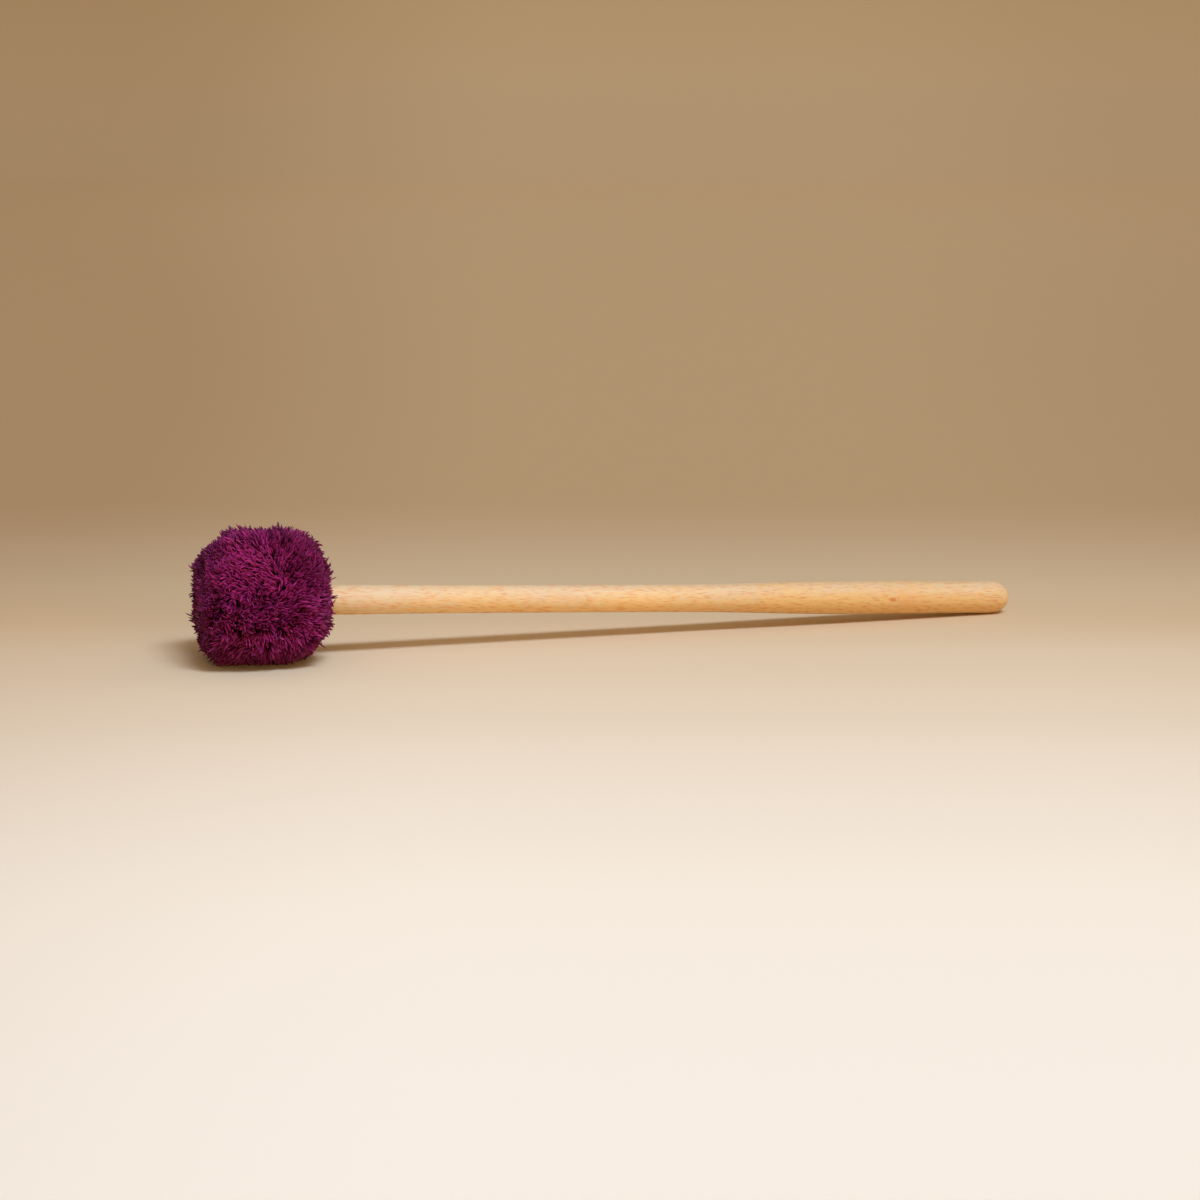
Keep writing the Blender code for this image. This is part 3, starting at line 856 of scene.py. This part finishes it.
def ray_flecks(shader, settings, around, from_pith, z):
    """Beech's short dashes along the grain, some places fuller of them than others."""
    across, along = settings.fleck_width / MM, settings.fleck_length / MM
    cells = shader.joined(around / across, z / along, from_pith * 0.11)
    ray = shader.add("ShaderNodeTexVoronoi", {"distance": "MANHATTAN"}, {"Vector": cells, "Scale": 1.0})
    chance = shader.parts(Value(shader, ray.socket.node.outputs["Color"]))[0]
    clusters = shader.noise(shader.joined(around * 0.25, z * 0.05, from_pith * 0.1), 1.0, 1.0)
    return shader.between(ray, 0.90, 0.25) * shader.between(chance + clusters, 0.45, 1.2)


def knotted(shader, settings, base, x, y, z):
    """The wood with its knot: a warm halo towards the butt, and an eye with a pale point beside it.

    x, y and z are millimetres from the knot.
    """
    halo = oval((z - 8.0, x, y), (0.03, 0.05, 0.02)).fading()
    base = shader.mix(halo * 0.65, base, opaque(settings.halo))
    facing = shader.between(y, 3.0, 1.5)
    eye = shader.between(oval((z, x), (0.13, 0.9)), 1.5, 0.2) * facing
    base = shader.mix(eye, base, opaque(settings.knot))
    point = oval((z - 1.4, x), (3.0, 2.5)).fading() * facing
    return shader.mix(point * 0.8, base, opaque(settings.pale))


def fibre_material(name, tint, scale, roughness=0.95):
    """Felt, thread or cord: matted fibres, lighter and darker."""
    shader = Shader(bpy.data.materials.new(name))
    fibres = shader.noise(shader.place(), scale, 4.0)
    base = shader.mix(fibres, darker(tint, 0.6), darker(tint, 1.2))
    return shader.finish(Base_Color=base, Roughness=roughness, Normal=shader.bump(fibres, 0.6, 0.4 * MM))


def core_material():
    """The core's plain turned wood, with rings about its own middle."""
    shader = Shader(bpy.data.materials.new("core wood"))
    x, y, z = shader.parts(shader.own_place())
    uneven = shader.noise(shader.place(), 60) * 0.8
    rings = (from_middle(x, y) / (1.9 * MM) + uneven).maths("FRACT")
    fibre = shader.noise(shader.joined(x * 1500, y * 1500, z * 120), 1.0, 3.0)
    base = shader.mix(rings**3.0 * 0.5, opaque((0.56, 0.38, 0.21)), opaque((0.36, 0.21, 0.10)))
    return shader.finish(Base_Color=base, Roughness=0.6 + fibre * 0.2)


def steel_material():
    """Turned steel: fine rings left by the tool, a little uneven."""
    shader = Shader(bpy.data.materials.new("turned steel"))
    x, y, z = shader.parts(shader.own_place())
    marks = shader.noise(shader.joined(from_middle(x, y) * 9000, z * 9000, 0.0), 1.0)
    base = shader.mix(marks, opaque((0.50, 0.51, 0.52)), opaque((0.62, 0.62, 0.63)))
    return shader.finish(Base_Color=base, Metallic=1.0, Roughness=0.28 + marks * 0.16)


def floor_material(stage, forwards, right):
    """A swept paper with painted light: pale in front of the mallet and darker behind it, and painted shade
    towards both sides.

    The bend catches more light the steeper it is, so it takes on the backdrop's darker tint, which is painted
    shade.
    """
    shader = Shader(bpy.data.materials.new("floor"))
    place = shader.place()
    away = shader.reach(place, forwards)
    near, far = FLOOR_PAINTED_TONES[0][0], FLOOR_PAINTED_TONES[-1][0]
    stops = [((spot - near) / (far - near), opaque(tint)) for spot, tint in FLOOR_PAINTED_TONES]
    settings = {"stops": stops, "interpolation": "CARDINAL"}
    tint = shader.add("ShaderNodeValToRGB", settings, {"Fac": (away - near) / (far - near)})
    # painted shade over the bend and backdrop
    steep = (shader.parts(place)[2] / stage.wall_height).maths("MAXIMUM", 0.0) ** 0.5
    raised = 1.0 - (1.0 - steep).maths("MAXIMUM", 0.0) ** 2.0
    tint = shader.mix(raised, tint, opaque(stage.painted_wall_shade))
    # painted shade: the floor darker towards both sides, more to the left
    aside = shader.reach(place, right) / (shader.between(away, 0.2, stage.wall) * 2.5 + 1.0)
    dim = shader.between(aside, -0.05, -0.38) * 0.30 + shader.between(aside, 0.15, 0.50) * 0.14
    dimming = {"data_type": "RGBA", "blend_type": "MULTIPLY"}
    tint = shader.add("ShaderNodeMix", dimming, {0: dim, 6: tint, 7: opaque(stage.side_shade)}, 2)
    return shader.finish(Base_Color=tint, Roughness=0.9, Specular_IOR_Level=0.1)


class MALLET_OT_cover(bpy.types.Operator):
    """Sews the backing cloth of the cover: band, front and neck"""

    bl_idname = "mallet.cover"
    bl_label = "Plush backing"

    def execute(self, context):
        head, pile = context.scene.mallet_head, context.scene.mallet_pile
        material = cloth_material(pile)
        _, pile_side, normals = pile_outline(head)
        cloth = pile_side - head.cloth_depth * normals
        under = pile_side - (head.cloth_depth + head.cloth_thickness) * normals
        along = pile_side[:, 1]
        front, back = seams(head)
        stretches = {
            "cover_front": (along < front, "plush_front"),
            "cover_band": ((along >= front) & (along <= back), "plush_band"),
            "cover_neck": (along > back, "plush_neck"),
        }
        for node, (chosen, name) in stretches.items():
            outline = np.vstack([cloth[chosen][::4], under[chosen][::4][::-1]])
            outline[:, 0] = np.maximum(outline[:, 0], 0)
            if node == "cover_front":
                outline[0, 0] = outline[-1, 0] = 0
            piece = revolved_piece(name, outline, 144, material, on_the_table)
            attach(piece, "root")
            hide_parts(node)
        return {"FINISHED"}


class MALLET_OT_pile(bpy.types.Operator):
    """Grows the strands of the plush"""

    bl_idname = "mallet.pile"
    bl_label = "Plush pile"

    def execute(self, context):
        head, pile = context.scene.mallet_head, context.scene.mallet_pile
        random = np.random.default_rng(pile.seed)
        material = plush_material(pile)
        strands, paths, widths, tone = grown_strands(head, pile, random)
        for name, chosen in pile_groups(head, strands).items():
            places, faces, along, around = strand_mesh(paths[chosen], widths[chosen])
            piece = new_piece(name, on_the_table(to_world(places)), [faces], material)
            each = np.repeat(tone[chosen], len(along) // chosen.sum())
            mark_strands(piece.data, faces, along, around, each)
            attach(piece, "root")
        return {"FINISHED"}


class MALLET_OT_handle(bpy.types.Operator):
    """Turns the beech handle finely over the CAD one"""

    bl_idname = "mallet.handle"
    bl_label = "Beech handle"

    def execute(self, context):
        material = beech_material(context.scene.mallet_handle)
        piece = revolved_piece("beech_handle", handle_outline(), 112, material)
        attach(piece, "root")
        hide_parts("handle")
        return {"FINISHED"}


class MALLET_OT_inside(bpy.types.Operator):
    """Finishes the wood, steel, felt and thread inside the head"""

    bl_idname = "mallet.inside"
    bl_label = "Inside of the head"

    def execute(self, context):
        thread = fibre_material("sewing thread", (0.10, 0.008, 0.05), 4000, 0.7)
        finishes = (
            (core_material(), "core"),
            (steel_material(), "core_weight", "core_washer", "core_screw"),
            (fibre_material("grey felt", (0.42, 0.41, 0.40), 900), "felt_wrap"),
            (fibre_material("white felt", (0.72, 0.69, 0.62), 900), "soft_wrap", "front_pad", "neck_pad"),
            (thread, "front_seam_thread", "neck_seam_thread"),
            (fibre_material("tie cord", (0.55, 0.50, 0.42), 2500, 0.8), "neck_tie_cord"),
        )
        for material, *nodes in finishes:
            for node in nodes:
                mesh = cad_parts[node].data
                mesh.materials.clear()
                mesh.materials.append(material)
        return {"FINISHED"}


def aimed(name, data, towards):
    """A camera or lamp in the scene that points this way."""
    made = bpy.data.objects.new(name, data)
    made.rotation_mode = "QUATERNION"
    made.rotation_quaternion = towards.to_track_quat("-Z", "Y")
    bpy.context.scene.collection.objects.link(made)
    return made


class MALLET_OT_stage(bpy.types.Operator):
    """Adds the floor, the light and the camera"""

    bl_idname = "mallet.stage"
    bl_label = "Floor, light and camera"

    def execute(self, context):
        stage = context.scene.mallet_stage
        forwards = Vector((-math.sin(stage.azimuth), math.cos(stage.azimuth), 0))
        right = Vector((math.cos(stage.azimuth), math.sin(stage.azimuth), 0))
        floor = self.sweep(stage, forwards, right)
        self.add_camera(context.scene, stage, forwards)
        overhead = UP - forwards * math.tan(stage.key_lean)
        for aside in STRIP_ASIDE:
            towards = overhead + right * aside
            divisor = towards.normalized().z * len(STRIP_ASIDE)
            self.add_lamp(towards, stage.key, stage.key_softness, divisor)
        front = UP * math.tan(stage.fill_height) - forwards + right * FILL_ASIDE
        self.add_lamp(front, stage.fill, stage.fill_softness, 1.0)
        self.light_all_round(context.scene, stage, right, forwards)
        context.scene.view_settings.view_transform = "Standard"
        return {"FINISHED"}

    def add_camera(self, scene, stage, forwards):
        """A camera at its distance from its aim, looking down along forwards."""
        back = UP * math.sin(stage.elevation) - forwards * math.cos(stage.elevation)
        data = bpy.data.cameras.new("camera")
        data.lens = stage.lens
        data.sensor_width = 36.0
        scene.camera = aimed("camera", data, -back)
        scene.camera.location = Vector(stage.aim) + back * stage.distance

    def add_lamp(self, towards, tint, softness, divisor):
        """A distant lamp. A white face turned to it shows the tint divided by the divisor."""
        data = bpy.data.lights.new("lamp", "SUN")
        data.angle = softness
        data.energy = math.pi / divisor
        data.color = tint
        aimed("lamp", data, -towards)

    def sweep(self, stage, forwards, right):
        """A floor that bends up far behind the mallet into a steep backdrop, as swept paper does."""
        bend = np.linspace(0, stage.wall_slope, BEND_STEPS)
        away = np.concatenate([[-FLOOR_REACH], stage.wall + stage.wall_bend * np.sin(bend)])
        height = np.concatenate([[0.0], stage.wall_bend * (1 - np.cos(bend))])
        away = np.append(away, away[-1] + BACKDROP_HEIGHT * math.cos(stage.wall_slope))
        height = np.append(height, height[-1] + BACKDROP_HEIGHT * math.sin(stage.wall_slope))
        middle = away[:, None] * np.array(forwards) + height[:, None] * np.array(UP)
        aside = FLOOR_REACH * np.array(right)
        places = np.concatenate([middle - aside, middle + aside])
        row = np.arange(len(away) - 1)
        faces = np.stack([row, row + len(away), row + len(away) + 1, row + 1], -1)
        return new_piece("floor", places, [faces], floor_material(stage, forwards, right))

    def light_all_round(self, scene, stage, right, forwards):
        """A light from everywhere, weaker from the left, in which the camera sees the floor's far colours."""
        scene.world = bpy.data.worlds.new("studio")
        shader = Shader(scene.world)
        rays = shader.add("ShaderNodeLightPath").socket.node.outputs
        seen = Value(shader, rays["Is Camera Ray"])
        direction = shader.add("ShaderNodeTexCoord", (), (), "Generated")
        far_tints = [opaque(FLOOR_PAINTED_TONES[end][1]) for end in (0, -1)]
        far = shader.mix(shader.between(shader.reach(direction, forwards), -0.7, 0.7), *far_tints)
        strength = shader.reach(direction, right) * stage.from_left + 1.0
        sockets = {"Color": opaque(stage.ambient), "Strength": strength}
        ambient = shader.add("ShaderNodeBackground", (), sockets)
        backdrop = shader.add("ShaderNodeBackground", (), {"Color": far, "Strength": 1.0})
        both = shader.add("ShaderNodeMixShader", (), {0: seen, 1: ambient, 2: backdrop})
        shader.add("ShaderNodeOutputWorld", (), {"Surface": both})


class MALLET_PT_panel(bpy.types.Panel):
    """The steps that dress the mallet"""

    bl_label = "Gong mallet"
    bl_idname = "MALLET_PT_panel"
    bl_space_type = "VIEW_3D"
    bl_region_type = "UI"
    bl_category = "Mallet"

    def draw(self, context):
        for operator in OPERATORS:
            self.layout.operator(operator.bl_idname)


SETTINGS = {
    "mallet_head": HeadSettings,
    "mallet_pile": PileSettings,
    "mallet_handle": HandleSettings,
    "mallet_stage": StageSettings,
}
OPERATORS = (MALLET_OT_stage, MALLET_OT_handle, MALLET_OT_inside, MALLET_OT_cover, MALLET_OT_pile)


def register():
    for kind in (*SETTINGS.values(), *OPERATORS, MALLET_PT_panel):
        bpy.utils.register_class(kind)
    for name, kind in SETTINGS.items():
        setattr(bpy.types.Scene, name, PointerProperty(type=kind))


def unregister():
    for name in SETTINGS:
        delattr(bpy.types.Scene, name)
    for kind in (MALLET_PT_panel, *reversed(OPERATORS), *reversed(SETTINGS.values())):
        bpy.utils.unregister_class(kind)


def main():
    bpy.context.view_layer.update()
    register()
    bpy.ops.mallet.stage()
    bpy.ops.mallet.handle()
    bpy.ops.mallet.inside()
    bpy.ops.mallet.cover()
    bpy.ops.mallet.pile()


if __name__ == "__main__":
    main()
